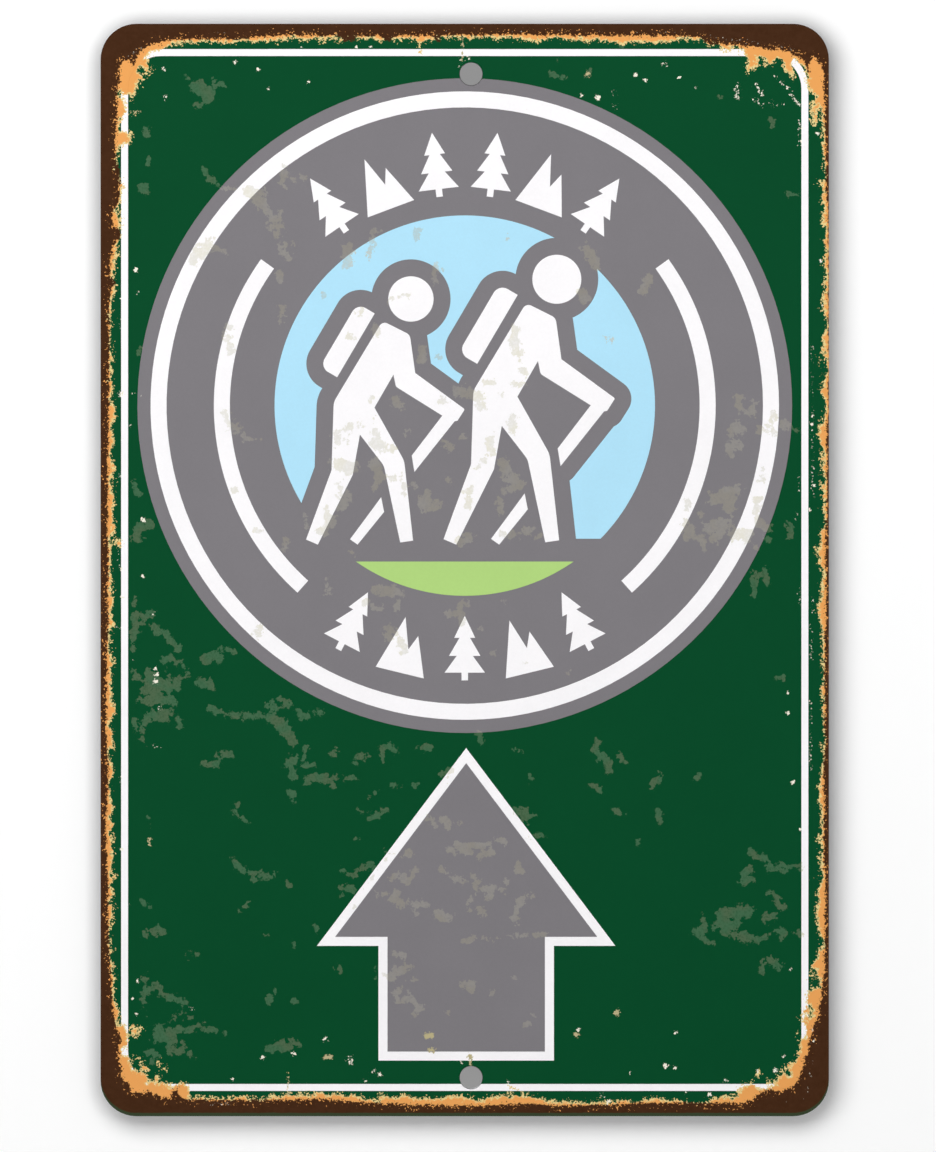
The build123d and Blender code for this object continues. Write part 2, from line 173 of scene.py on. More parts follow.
# In these zones the noise scatters small chips.
CHIPPED_ZONES = """
26.5 19 1.6; 27 31 1.6; 215 28.5 1.6; 215 35 1.6; 236 17 1.6; 266.5 26.5 1.8, 266.5 31 1.8;
274.5 25.5 1.6, 276.5 30 1.3; 273 31.5 1.1, 277 34 1.1; 280 33.4 1.1, 285 34 1.3; 281 21.5 .9,
288 27 1.3; 289 30 1.5, 293 34 1.5; 292.3 41 1.3, 292.8 50 1.3; 8 119 1; 8.5 122 .8, 8.5 127 .8;
12 155 1, 17 155 1; 12.5 168 1; 297.8 133 .7, 297.8 187 .7; 7.5 218 .8, 7.5 227 .8; 22 247 1.5;
8 252 1.5; 14 266 1; 292.5 189 .9, 292.5 195 .9; 298 184 .9, 298 197 .9; 291.5 205 1, 291.5 207.5 1;
292.5 236 .9, 292.5 243 .9; 298 240 .9, 298 247 .9; 297.5 252 .9, 297.5 266 .9; 297.2 284 .9,
297.2 312 .9; 8.5 314 .9, 8.5 320 .9; 20.5 302.5 1.1, 24.5 302.5 1.1; 25 286 1.5; 12 369 1;
38 412 1.5; 94 425 2; 93 420 1; 104.5 433.5 2.4; 111 442.5 1.4; 114 438.5 1.7; 151 435 1.7;
150.8 13 1.2, 150.8 18 1.3; 154.5 14 1.1, 155 17 1; 210 448.5 1.5; 46 452 .8, 54 452 .8;
298 425.5 1.5; 298 435 1; 297 440 1; 295.5 446 1; 288 451.5 1; 294.8 450.5 1; 298 421 1; 249 27 1;
252 5 .5, 262 6 .5; 264 6.5 .6, 276 8 .6; 282 8 .6, 290 10.5 .6; 11.5 13.5 .7, 17 9.5 .7; 44 4 .2,
58 4 .2; 118 3.2 .2, 150 3 .2; 170 3 .2, 210 3.2 .2; 225 3.4 .3, 245 3.6 .3
"""

# Both lines run clockwise from the upper left: brown lies outside the first, orange between them.
BROWN_LINE = """
22 8.5, 30 6.6, 45 6.6, 60 6.4, 66 5.4, 75 4.8, 100 5, 102 7.4, 106 7.4, 107.5 5.2, 117 5,
118.5 7.2, 121.5 7.2, 123 5, 139.5 4.9, 140.3 7.4, 141.7 7.4, 142.5 4.9, 150 4.8, 175 4.5, 195 4.8,
215 5, 235 5, 250 5.4, 255 9, 260 8.6, 268 9, 275 9.8, 280 10.8, 283 10.2, 288 11.8, 292.6 14.2,
295 16, 296 20.5, 296.9 20, 296.6 16, 298.2 13.9, 301.5 17, 302.5 20.4, 302.8 30, 303.2 40,
303.4 60, 303.8 70, 304.4 80, 304.6 95, 304.7 160, 303.9 168, 303.9 190, 304 195, 303.9 205,
303.5 212, 303.5 252, 302.8 255, 303 260, 303 288, 302.6 294, 303.5 301, 302.5 308, 302.5 320,
303 328, 302.5 338, 303 343, 302.3 349, 303.3 355, 303.3 370, 303.2 380, 303 395, 302.2 402,
301.5 407.5, 301 410, 300.3 415, 299 418, 298 421.5, 297.2 425, 296.2 427.5, 296.2 430.5, 294.4 433,
293.9 437, 292.6 439.5, 291.8 442.5, 290.3 444.5, 286.7 446, 283.7 447.2, 281.1 446, 278.6 446.2,
275.5 447.5, 273 450, 269.4 451.5, 265.3 452, 260.2 451.7, 250 451.5, 240 451.5, 225 451.6, 220 452,
205 452.5, 190 452.6, 185 452, 175 451.8, 165 452.5, 150 453, 140 452.6, 130 452.2, 115 451.6,
105 450.8, 90 450, 80 450.2, 60 450.4, 40 450.2, 34 449.6, 32.4 448, 31.9 445.2, 31 444.8, 30.2 447,
29 449.8, 25.5 449.4, 23.4 448, 20 446.8, 16.3 447.2, 12.8 447.6, 11.8 443.6, 8.6 441.2, 8.9 437.5,
7.6 433, 7.4 429, 8.6 425.5, 7.6 422, 6.1 420, 5.8 416, 5.5 414, 4.8 405, 4.2 396, 3.6 388, 3.3 380,
3.3 370, 3.2 362, 2.8 352, 2.3 342, 2.2 332, 3 322, 3.2 315, 2.9 305, 2.2 296, 2.3 285, 2.5 276,
2.7 268, 3 258, 3 240, 3.4 222, 3 212, 3 190, 3.2 180, 3.3 166, 3.6 158, 3.6 148, 3.7 135, 3.7 120,
3.8 112, 6.5 108.5, 3.9 105, 4.2 98, 5.3 93, 8.4 89, 8.3 86.5, 5 84, 4.6 79, 7 76, 8 72, 8.4 66,
8 62, 6.5 57, 6 50, 6.6 44, 7 36, 6.6 30, 7.8 24, 8.2 18, 9.3 15.2, 12.2 15.4, 13.2 17.8, 14.4 17.4,
15.2 14.2, 16.6 12, 19 9.8
"""

ORANGE_LINE = """
20.6 13.4, 24 11.4, 29.6 9.6, 30.4 8.2, 45 8, 60 7.6, 66 7, 86 7, 100 7, 103 5.4, 106 5.6, 108 7,
130 7.2, 150 7, 190 7, 200 7.6, 212 8, 220 8.8, 229 8.6, 238 7.8, 250 7.6, 252 6.5, 254 9, 258 9,
260 11.4, 262 12, 266 11, 269.3 11, 270.2 15, 269.8 21, 270.8 22.2, 272.4 18.5, 274.6 17.6,
276.2 15, 277.4 14.4, 278.6 17.6, 281 17.4, 283.5 15.6, 285 18.4, 287.6 20.6, 289.2 23, 291 22.6,
290.4 18, 290.8 16.2, 293.5 19.5, 295.6 23.2, 296.3 26, 296.6 29.6, 298.4 30.8, 296.8 33,
297.2 37.5, 298 39.5, 297.4 42, 298.6 43.4, 300 41.8, 300.6 38.5, 301.2 36, 301.6 42, 302 50,
302.2 58, 303.4 61, 303.4 63.5, 299.5 65, 299.5 67, 302 70, 302 95, 302.5 105, 302.4 114, 302.3 120,
303 126, 302.5 131, 302.5 140, 302.6 148, 302 153, 302 160, 301.2 166, 301 175, 301 185, 302 192,
302.4 200, 302.5 208, 301.5 214, 299.5 219, 299 224, 301 228, 301.8 233, 300.8 238, 300.4 244,
300.6 250, 302 254, 302.2 257, 301.4 262, 301.8 270, 302 280, 301.8 288, 302.3 293, 302.2 298,
302 303, 301.2 310, 300.8 317, 300.8 324, 301.2 334, 301.4 338, 300.4 343, 301.2 349, 300.2 354,
300.2 358, 299.4 364, 299.6 370, 300 376, 300 382, 301.6 385, 300.2 389, 299.5 391, 296.5 393,
296.5 398, 301 400, 300.5 402.5, 295.2 404, 295.1 408, 294.4 411.5, 293.8 415, 292.4 417, 293 419.2,
294.6 420.4, 294 423, 292.6 422.8, 291.2 421, 292.2 425, 291.2 427.6, 290.6 430.4, 290.2 432.2,
288.6 433.9, 286.6 435.4, 287.2 438.6, 288.2 439.6, 285.7 438, 283.2 440, 282.6 442.6, 280 443.4,
279 441.4, 278.4 441, 278.6 443.6, 277.6 444.6, 276 444.2, 275.2 443.2, 275.8 439, 275.2 438.6,
274.4 442.6, 272 442.4, 270 443.2, 267.8 444.4, 266.2 445.4, 266.2 447.6, 262 448.8, 257 449.8,
250 450.8, 240 450, 225 450, 215 450.6, 205 451.2, 190 451, 185 449.6, 178 448.8, 172 448, 165 449,
155 448.6, 145 449, 130 449, 115 448.8, 105 448, 95 447.7, 85 447.6, 78 447.6, 70 448.2, 60 448.8,
50 449, 42 448.4, 38 448.6, 37.4 444.8, 36 443.4, 34.4 443.2, 33 444.4, 30.6 444.2, 29 443, 27 442,
25 442.8, 23 443.3, 20.5 442, 18.8 439.6, 16.3 439, 14.3 437, 12.8 434.5, 12.6 432, 12.2 431.4,
9.4 431, 9.2 429.2, 12.4 428.6, 12.6 422, 11.4 421, 11.2 418.4, 8.4 417.6, 7.4 414, 6.6 405,
5.6 396, 4.8 388, 4.8 380, 5.2 370, 5 360, 5.4 353, 5 344, 5 325, 4.6 315, 4.6 305, 5.3 296,
5.4 286, 5 276, 5.5 268, 5 258, 5 248, 4.8 240, 5.6 232, 5 226, 5.2 218, 6.2 212, 6.4 206, 5.8 200,
5.8 192, 5.5 184, 5.4 174, 6.2 165, 5 160, 5.4 155, 6 149, 4.8 144, 4.9 130, 4.9 118, 6 112,
5.9 104, 6 100, 7.4 96, 7.6 92, 8.6 88, 8.2 82, 8 77, 9.4 74, 9.8 68, 8.6 63, 7.4 57, 8 52, 12 50,
12 44.7, 9.5 44, 9.2 41, 9.6 38.5, 11.6 37, 11.2 31.5, 12.8 31, 13.6 33, 15 30, 17.2 27, 16.8 24.6,
18.4 22, 19.6 22.8, 21 20.5, 21.8 18.3, 20.2 16
"""

ORANGE_STROKES = """
133 7 -.5, 133.5 11.5 -.8, 133.7 12.4 -.6; 151.5 6 -.9, 151.5 9 -1.8; 78.5 440 -.6, 78.5 449 -.3;
172 445 -.6, 172 450 -.2; 177 447.5 .2; 7 217 .6; 13.2 420 .5, 14.3 423 1, 16.4 420.2 .8;
24.2 435 .3, 23.4 442.5 .5; 26 437.5 .7; 15 433.5 .35; 16.5 435.5 .35; 18 436.8 .4; 14.3 431.8 .3;
19.5 438 .3; 300.5 142 .4, 302.5 146 .4; 5.5 357 .7; 12.4 37.6 -.6, 14 37.2 -1.2
"""

GREEN_ISLANDS = """
299 396 1.6; 297.3 411.4 .9; 297 415.5 .5; 300 375 .6; 292.3 429.5 .8; 16.8 19.6 1.2; 299.6 33.8 .8;
8.2 29.2 .9
"""


class Mark(Enum):
    """The kinds of mark, by the name that their depth in millimetres has on the mesh."""

    FADE = "fade_depth"
    SPECK = "speck_depth"
    BEIGE = "beige_depth"
    CHIP = "chip_depth"
    BROWN = "brown_depth"
    ORANGE = "orange_depth"
    BARE_FOOT = "foot_depth"


def linear(colour: str) -> Colour:
    """Turn an sRGB hex colour to the linear one that Blender mixes.

    Args:
        colour: six hex digits after a hash.

    Returns:
        Red, green, blue and an alpha of one.
    """
    # The numbers below are those of the sRGB standard.
    shares = [int(colour[at:at + 2], 16) / 255 for at in (1, 3, 5)]
    return (*(s / 12.92 if s <= 0.04045 else ((s + 0.055) / 1.055) ** 2.4 for s in shares), 1.0)


def add_node(tree: bpy.types.NodeTree, kind: str, inputs: dict | None = None, out: int | str = 0,
             **settings: object) -> Socket | None:
    """Add a node with its settings, values and links.

    Args:
        tree: the node tree that gets the node.
        kind: Blender's name for the node's type, without the ShaderNode that it starts with.
        inputs: a value, or another node's output, for each named or numbered input.
        out: the output to give back.
        settings: the node's own settings.

    Returns:
        That output, or nothing for a node that has none.
    """
    node = tree.nodes.new(f"ShaderNode{kind}")
    for name, value in settings.items():
        setattr(node, name, value)
    for key, value in (inputs or {}).items():
        if isinstance(value, Socket):
            tree.links.new(value, node.inputs[key])
        else:
            node.inputs[key].default_value = value
    return node.outputs[out] if len(node.outputs) else None


def emptied(owner: bpy.types.Material | bpy.types.World) -> Adder:
    """Empty a new material or world of its nodes.

    Args:
        owner: the material or world.

    Returns:
        What adds a node to it.
    """
    owner.use_nodes = True
    owner.node_tree.nodes.clear()
    return partial(add_node, owner.node_tree)


def lay_coats(add: Adder, colour: Socket | Colour,
              *coats: tuple[Socket, Socket | Colour]) -> Socket | Colour:
    """Lay coats of colour over one another.

    Args:
        add: adds a node to the material.
        colour: the colour at the bottom.
        coats: how much of each coat shows and its colour, from below upwards.

    Returns:
        The colour that shows.
    """
    for share, coat in coats:
        # Mix has sockets of the same name for numbers: those for colours are 6, 7 and output 2.
        colour = add("Mix", {0: share, 6: colour, 7: coat}, out=2, data_type="RGBA")
    return colour


def to_mesh(name: str, shape: bmesh.types.BMesh) -> bpy.types.Mesh:
    """Make a mesh of a finished shape.

    Args:
        name: the mesh's name.
        shape: the shape, which is freed.

    Returns:
        The mesh.
    """
    mesh = bpy.data.meshes.new(name)
    shape.to_mesh(mesh)
    shape.free()
    return mesh


def place_in_scene(name: str, data: bpy.types.ID) -> bpy.types.Object:
    """Put a mesh, a lamp or a camera in the scene.

    Args:
        name: the name of its object.
        data: the mesh, lamp or camera.

    Returns:
        The object.
    """
    thing = bpy.data.objects.new(name, data)
    bpy.context.scene.collection.objects.link(thing)
    return thing


def dabs(text: str) -> list[np.ndarray]:
    """Read strokes from their text.

    Args:
        text: strokes that semicolons divide, of dabs that commas divide.

    Returns:
        One array a stroke, with a row of numbers for each dab.
    """
    return [np.array([[float(word) for word in dab.split()] for dab in stroke.split(",")])
            for stroke in text.split(";")]


@dataclass(frozen=True)
class Grain:
    """A random pattern: the width of its grains in millimetres, and how they break up."""

    width: float
    detail: float
    roughness: float = 0.5
    seed: float = 0.0


@dataclass(frozen=True)
class Streak:
    """A random pattern drawn out along a sheet, its widths in millimetres, its turn in degrees."""

    across: float
    through: float
    along: float
    detail: float
    roughness: float = 0.5
    turn: float = 0.0


@dataclass(frozen=True)
class Span:
    """How one value becomes another: the ends of what comes in, and what they give."""

    low: float = 0.0
    high: float = 1.0
    least: float = 0.0
    most: float = 1.0

    def turns(self, value: Socket) -> dict[str, Socket | float]:
        """Give the inputs of a node that turns this value."""
        return {"Value": value, "From Min": self.low, "From Max": self.high,
                "To Min": self.least, "To Max": self.most}


@dataclass(frozen=True)
class Edge:
    """A mark's ragged edge in millimetres: how far noise moves it, half its blur, its spread."""

    reach: float
    blur: float
    spread: float = 0.0

    def shows(self, add: Adder, depth: Socket, noise: Socket) -> Socket:
        """Find how much of the mark shows.

        Args:
            add: adds a node to the material.
            depth: how deep a point lies inside the mark's smooth outline, in millimetres.
            noise: the noise that moves the edge, about one half on average.

        Returns:
            The share, from nought to one.
        """
        moved = add("Math", {0: noise, 1: self.reach, 2: depth}, operation="MULTIPLY_ADD")
        middle = self.reach / 2 - self.spread
        return add("MapRange", Span(middle - self.blur, middle + self.blur).turns(moved),
                   interpolation_type="SMOOTHSTEP")


@dataclass(frozen=True)
class Weather:
    """Where sun, rain and rust have marked the face. All sizes are in millimetres."""

    left: float
    top: float
    width: float
    height: float
    corner_radius: float = 15.0
    foot_height: float = 1.4
    band_set_back: float = 0.95
    speck_set_back: float = 0.07
    deepest: float = 9.0
    # A stroke of one dab has no length, and is divided by this instead.
    least_run: float = 1e-9

    def places(self, points: np.ndarray) -> np.ndarray:
        """Give each point's place on the face.

        Args:
            points: points of the model in metres, one a row.

        Returns:
            Millimetres right of the blank's left edge and down from its top edge, one row a point.
        """
        return np.stack([points[:, 0] / MM - self.left, self.top - points[:, 2] / MM], axis=1)

    def in_strokes(self, places: np.ndarray, text: str) -> np.ndarray:
        """Measure how deep each place lies inside the nearest stroke.

        Args:
            places: places on the face.
            text: the strokes.

        Returns:
            The depth, below zero outside.
        """
        depth = np.full(len(places), -self.deepest)
        for stroke in dabs(text):
            reach = stroke[:, 2].max() + self.deepest
            near = np.flatnonzero(((places >= stroke[:, :2].min(axis=0) - reach)
                                   & (places <= stroke[:, :2].max(axis=0) + reach)).all(axis=1))
            for start, end in zip(stroke, stroke[1:] if len(stroke) > 1 else stroke):
                run = end[:2] - start[:2]
                share = (places[near] - start[:2]) @ run / max(run @ run, self.least_run)
                share = np.clip(share, 0.0, 1.0)
                away = np.linalg.norm(places[near] - start[:2] - share[:, None] * run, axis=1)
                inside = start[2] + share * (end[2] - start[2]) - away
                depth[near] = np.maximum(depth[near], inside)
        return depth

    def beyond(self, places: np.ndarray, text: str) -> np.ndarray:
        """Measure how far each place lies outside a closed line.

        Args:
            places: places on the face.
            text: the line's points in order.

        Returns:
            The distance, below zero inside the line.
        """
        line = dabs(text)[0]
        away = np.full(len(places), np.inf)
        inside = np.zeros(len(places), dtype=bool)
        for start, end in zip(line, np.roll(line, -1, axis=0)):
            run = end - start
            share = np.clip((places - start) @ run / (run @ run), 0.0, 1.0)
            away = np.minimum(away, np.linalg.norm(places - start - share[:, None] * run, axis=1))
            crosses = (start[1] > places[:, 1]) != (end[1] > places[:, 1])
            level = start[0] + (places[:, 1] - start[1]) * run[0] / (run[1] or 1.0)
            inside ^= crosses & (places[:, 0] < level)
        return np.where(inside, -away, away)

    def below_foot(self, places: np.ndarray) -> np.ndarray:
        """Measure how deep each place lies in the bare sliver along the bottom edge.

        Args:
            places: places on the face.

        Returns:
            The depth, below zero above the sliver.
        """
        half = np.array([self.width, self.height]) / 2
        middle = half - np.array([0.0, self.foot_height])
        out = np.abs(places - middle) - (half - self.corner_radius)
        round_corner = np.linalg.norm(np.maximum(out, 0.0), axis=1)
        return round_corner + np.minimum(out.max(axis=1), 0.0) - self.corner_radius

    def depths(self, places: np.ndarray, rusts: bool) -> dict[Mark, np.ndarray]:
        """Measure every mark at each place.

        Args:
            places: places on the face.
            rusts: whether the rust along the sign's edge reaches this field of the print.

        Returns:
            The depth inside each kind of mark.
        """
        found = {
            Mark.FADE: self.in_strokes(places, FADED_STROKES),
            Mark.SPECK: self.in_strokes(places, PALE_SPECKS) - self.speck_set_back,
            Mark.BEIGE: self.in_strokes(places, BEIGE_SPECKS),
            Mark.CHIP: self.in_strokes(places, CHIPPED_ZONES),
        }
        if rusts:
            band = self.beyond(places, ORANGE_LINE) - self.band_set_back
            band = np.maximum(band, self.in_strokes(places, ORANGE_STROKES))
            found[Mark.ORANGE] = np.minimum(band, -self.in_strokes(places, GREEN_ISLANDS))
            found[Mark.BROWN] = self.beyond(places, BROWN_LINE)
            found[Mark.BARE_FOOT] = self.below_foot(places)
        return {mark: np.clip(depth, -self.deepest, self.deepest) for mark, depth in found.items()}

    def dress(self, mesh: bpy.types.Mesh, rusts: bool) -> None:
        """Write the marks' depths on a mesh.

        Args:
            mesh: the mesh of one field of the print.
            rusts: whether the rust along the sign's edge reaches it.
        """
        points = np.empty(len(mesh.vertices) * 3)
        mesh.vertices.foreach_get("co", points)
        for mark, depth in self.depths(self.places(points.reshape(-1, 3)), rusts).items():
            layer = mesh.attributes.new(mark.value, "FLOAT", "POINT")
            layer.data.foreach_set("value", depth.astype(np.float32))


@dataclass(frozen=True)
class PrintedInk:
    """Screen ink, baked on the sheet, that sun, scratches and rust have worn."""

    # Baked screen ink is even and nearly matt, so the eye takes it for paint and not for plastic.
    # Sun turns it chalky in patches, scratches bare a pale primer, and rust stains it at the edge.
    name: str
    slot: str
    colour: str
    faded: str
    faded_warm: str
    rusts: bool = False
    chipped: str = "#F2EEDC"
    beige: str = "#BAAF86"
    orange: str = "#EBA45B"
    pale_orange: str = "#E6CF8E"
    brown: str = "#482C1A"
    dark_brown: str = "#412614"
    foot: str = "#36432D"

    # How wide torn edges, hues, clouds, grit, shreds and crumbs are.
    ragged: Grain = Grain(3.0, 4.0, 0.68)
    hues: Grain = Grain(9.0, 2.0)
    clouds: Grain = Grain(38.0, 4.0, 0.6)
    # Real grit is near 0.05 mm wide: 0.9 mm is as coarse as it needs to show.
    grit: Grain = Grain(0.9, 2.0)
    shreds: Grain = Grain(0.9, 4.0, 0.65, seed=7.0)
    teeth: Grain = Grain(1.5, 3.0, 0.72)
    crumbs: Grain = Grain(0.75, 1.0, 0.6, seed=3.0)
    mottles: Grain = Grain(2.2, 5.0, 0.7)
    waves: Grain = Grain(6.0, 1.0)

    # Crust gives way where the noise is strong, so its reach is below nought.
    bleached_edge: Edge = Edge(10.0, 0.2)
    chipped_edge: Edge = Edge(10.0, 0.3, -1.5)
    speck_edge: Edge = Edge(5.0, 0.12)
    beige_edge: Edge = Edge(5.0, 0.15)
    rust_edge: Edge = Edge(6.0, 0.12, -3.0)
    rust_core: Edge = Edge(6.0, 0.25, -3.4)
    rust_flecks: Edge = Edge(9.0, 0.2, -2.9)
    crust_edge: Edge = Edge(-4.0, 0.14)
    crust_gaps: Edge = Edge(-14.0, 0.3)
    crust_crumbs: Edge = Edge(-10.0, 0.2, -0.8)
    foot_edge: Edge = Edge(0.7, 0.12)
    # How far, in millimetres, slow waves widen the stain and thicken the crust.
    rust_sway: float = 6.0
    crust_sway: float = 4.0
    crust_least: float = 0.5
    crust_overlap: float = 1.0

    cloud_tone: Span = Span(0.3, 0.7, 0.975, 1.02)
    grit_tone: Span = Span(0.25, 0.75, 0.985, 1.015)
    bleaching: Span = Span(0.35, 0.6, 0.7, 1.1)
    warming: Span = Span(0.42, 0.58)
    mottling: Span = Span(0.35, 0.65)
    dulling: Span = Span(least=0.44, most=0.72)
    grit_roughness: float = 0.12
    chip_sink: float = 0.8
    relief: float = 0.12
    relief_depth: float = 0.08
    ior: float = 1.5
    shine: float = 0.06

    def patterns(self, add: Adder, place: Socket, *grains: Grain) -> list[Socket]:
        """Draw random patterns.

        Args:
            add: adds a node to the material.
            place: the point's place in metres.
            grains: the patterns' sizes.

        Returns:
            Each pattern, about one half on average.
        """
        drawn = []
        for grain in grains:
            seed = {"W": grain.seed} if grain.seed else {}
            drawn.append(add("TexNoise", {
                "Vector": place, "Scale": 1 / (grain.width * MM), "Detail": grain.detail,
                "Roughness": grain.roughness, **seed}, noise_dimensions="4D" if seed else "3D"))
        return drawn

    def depths(self, add: Adder, *marks: Mark) -> list[Socket]:
        """Read how deep the point lies inside marks.

        Args:
            add: adds a node to the material.
            marks: the kinds of mark.

        Returns:
            The depth inside each, in millimetres.
        """
        return [add("Attribute", out="Fac", attribute_name=mark.value) for mark in marks]

    def rust(self, add: Adder, below: Socket, place: Socket,
             ragged: Socket) -> tuple[Socket, Socket]:
        """Lay the band of orange stain and brown crust over the ink.

        Args:
            add: adds a node to the material.
            below: the colour under the stain.
            place: the point's place in metres.
            ragged: the noise that breaks up the bare foot's edge.

        Returns:
            The colour, and how much of it is stain or crust.
        """
        orange, brown, foot = self.depths(add, Mark.ORANGE, Mark.BROWN, Mark.BARE_FOOT)
        teeth, crumbs, mottles, waves = self.patterns(
            add, place, self.teeth, self.crumbs, self.mottles, self.waves)

        # The stain is orange at its core, pale at its edge, and has loose flecks beside it.
        band = add("Math", {0: waves, 1: self.rust_sway, 2: orange}, operation="MULTIPLY_ADD")
        body = self.rust_edge.shows(add, band, teeth)
        core = self.rust_core.shows(add, band, teeth)
        flecks = self.rust_flecks.shows(add, band, crumbs)
        stained = add("Math", {0: body, 1: flecks}, operation="MAXIMUM")

        # The crust breaks up towards its edge, and has crumbs on the stain beside it.
        solid = self.crust_edge.shows(add, brown, teeth)
        near = add("Math", {0: brown, 1: self.crust_overlap}, operation="ADD")
        most = add("Math", {0: waves, 1: self.crust_sway, 2: self.crust_least},
                   operation="MULTIPLY_ADD")
        dense = add("Math", {0: near, 1: most}, operation="MINIMUM")
        gaps = self.crust_gaps.shows(add, dense, crumbs)
        whole = add("Math", {0: solid, 1: gaps}, operation="MINIMUM")
        loose = self.crust_crumbs.shows(add, brown, crumbs)
        pits = add("Math", {0: loose, 1: stained}, operation="MULTIPLY")
        crusted = add("Math", {0: whole, 1: pits}, operation="MAXIMUM")

        mottled = add("MapRange", self.mottling.turns(mottles))
        crust = lay_coats(add, linear(self.dark_brown), (mottled, linear(self.brown)))
        colour = lay_coats(
            add, below, (stained, linear(self.pale_orange)), (core, linear(self.orange)),
            (crusted, crust), (self.foot_edge.shows(add, foot, ragged), linear(self.foot)))
        return colour, add("Math", {0: stained, 1: crusted}, operation="MAXIMUM")

    def material(self) -> bpy.types.Material:
        """Make the ink's material.

        Returns:
            The material.
        """
        material = bpy.data.materials.new(self.name)
        add = emptied(material)
        place = add("TexCoord", out="Object")
        ragged, hues, clouds, grit, shreds = self.patterns(
            add, place, self.ragged, self.hues, self.clouds, self.grit, self.shreds)
        fade, speck, beige, chip = self.depths(
            add, Mark.FADE, Mark.SPECK, Mark.BEIGE, Mark.CHIP)

        tone = add("MapRange", self.cloud_tone.turns(clouds))
        fine = add("MapRange", self.grit_tone.turns(grit))
        level = add("Math", {0: tone, 1: fine}, operation="MULTIPLY")
        ink = add("HueSaturation", {"Value": level, "Color": linear(self.colour)})

        patchy = add("MapRange", self.bleaching.turns(grit))
        bleached = add("Math", {0: self.bleached_edge.shows(add, fade, ragged), 1: patchy},
                       operation="MULTIPLY", use_clamp=True)
        warmth = add("MapRange", self.warming.turns(hues))
        chalk = lay_coats(add, linear(self.faded), (warmth, linear(self.faded_warm)))
        colour, wear = lay_coats(add, ink, (bleached, chalk)), bleached
        if self.rusts:
            colour, rusted = self.rust(add, colour, place, ragged)
            wear = add("Math", {0: bleached, 1: rusted}, operation="MAXIMUM")

        chips = self.chipped_edge.shows(add, chip, shreds)
        specks = self.speck_edge.shows(add, speck, shreds)
        bare = add("Math", {0: chips, 1: specks}, operation="MAXIMUM")
        colour = lay_coats(add, colour, (bare, linear(self.chipped)),
                           (self.beige_edge.shows(add, beige, shreds), linear(self.beige)))

        dull = add("MapRange", self.dulling.turns(wear))
        rough = add("Math", {0: grit, 1: self.grit_roughness, 2: dull}, operation="MULTIPLY_ADD")
        rise = add("Math", {0: bare, 1: -self.chip_sink, 2: grit}, operation="MULTIPLY_ADD")
        relief = add("Bump", {"Strength": self.relief, "Distance": self.relief_depth * MM,
                              "Height": rise})
        surface = add("BsdfPrincipled", {
            "Base Color": colour, "Roughness": rough, "IOR": self.ior,
            "Specular IOR Level": self.shine, "Normal": relief})
        add("OutputMaterial", {"Surface": surface})
        return material


GREEN_INK = PrintedInk("green screen ink, sun bleached", "green_print",
                       "#034A28", "#42694B", "#4E674B", rusts=True)
BROWN_INK = PrintedInk("brown stained screen ink", "brown_print",
                       "#034A28", "#42694B", "#4E674B", rusts=True)
LINE_INK = PrintedInk("white screen ink, rust edged", "white_print",
                      "#FBF9FB", "#E0DED6", "#DEDCC8", rusts=True)
WHITE_INK = PrintedInk("white screen ink, sun bleached", "white_print",
                       "#FBF9FB", "#E6E4DF", "#E6E3D8")
GREY_INK = PrintedInk("grey screen ink, sun bleached", "grey_print",
                      "#7E7B7F", "#918E8A", "#8F8B84")
SKY_INK = PrintedInk("sky blue screen ink, sun bleached", "sky_print",
                     "#B1E2F8", "#B2CDD3", "#C0CBC8")
HILL_INK = PrintedInk("hill green screen ink, sun bleached", "hill_print",
                      "#B1D67F", "#B1C485", "#BCC08E")


